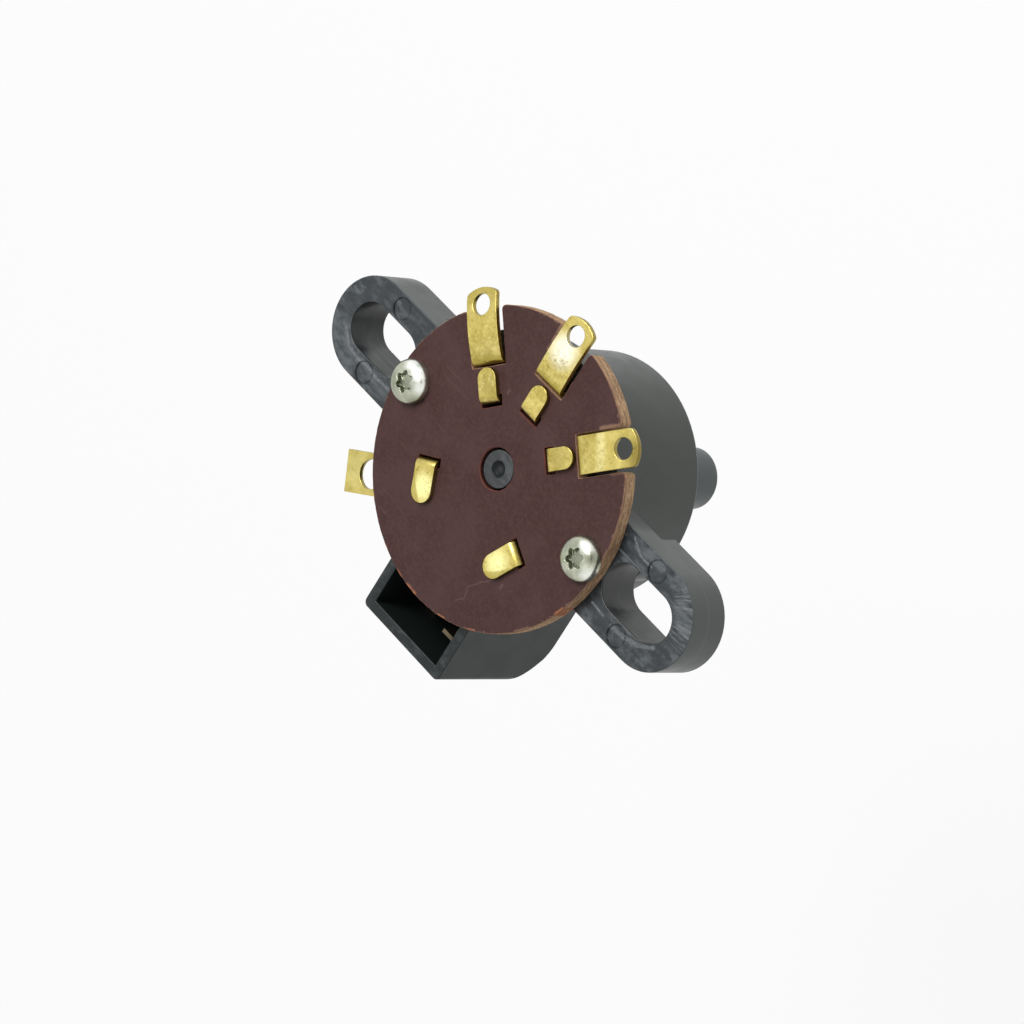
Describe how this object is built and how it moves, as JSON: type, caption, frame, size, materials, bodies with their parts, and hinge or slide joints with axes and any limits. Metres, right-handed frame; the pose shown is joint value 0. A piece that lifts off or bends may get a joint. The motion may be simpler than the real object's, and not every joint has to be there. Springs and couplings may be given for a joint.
{
  "type": "fan rotary switch",
  "caption": "Panel-mount rotary fan speed switch: slotted-ear plastic cup, D-shaft, phenolic terminal plate with brass solder lugs and a spring detent pocket.",
  "frame": {"origin": "on the shaft axis, in the plane where the mounting ears seat on the panel", "axes": "+Z along the shaft axis towards the terminal side, with the shaft pointing along -Z; +X along the ears, towards plate_screw_2; the spring pocket lies towards -Y"},
  "size_m": [0.0524, 0.037, 0.031],
  "materials": {
    "housing_plastic": "moulded, satin, scuffed on the ears",
    "rotor_plastic": "moulded, satin",
    "phenolic_paper": "matt red-brown laminate with a fibrous tan punched edge",
    "brass_strip": "rolled, lightly tarnished and scratched",
    "silver_contact": "silver alloy, dull",
    "spring_steel": "rolled spring steel",
    "zinc_screw": "bright zinc plate"
  },
  "bodies": {
    "switch_frame": {"housing": "housing_plastic", "terminal_plate": "phenolic_paper", "speed_terminal_1": "brass_strip", "speed_terminal_2": "brass_strip", "speed_terminal_3": "brass_strip", "speed_contact_1": "silver_contact", "speed_contact_2": "silver_contact", "speed_contact_3": "silver_contact", "common_terminal": "brass_strip", "common_contact_1": "silver_contact", "common_contact_2": "silver_contact", "common_contact_3": "silver_contact", "detent_spring": "spring_steel", "plate_screw_1": "zinc_screw", "plate_screw_2": "zinc_screw"},
    "rotor_unit": {"rotor": "rotor_plastic", "contact_bridge": "brass_strip", "bridge_contact_a": "silver_contact", "bridge_contact_b": "silver_contact", "contact_spring_a": "spring_steel", "contact_spring_b": "spring_steel"}
  },
  "joints": [
    {"name": "speed_select", "type": "hinge", "parent": "switch_frame", "child": "rotor_unit", "pos_m": [0, 0, 0], "axis": [0, 0, 1], "range_deg": [0, 135], "deforming": ["detent_spring"]}
  ]
}
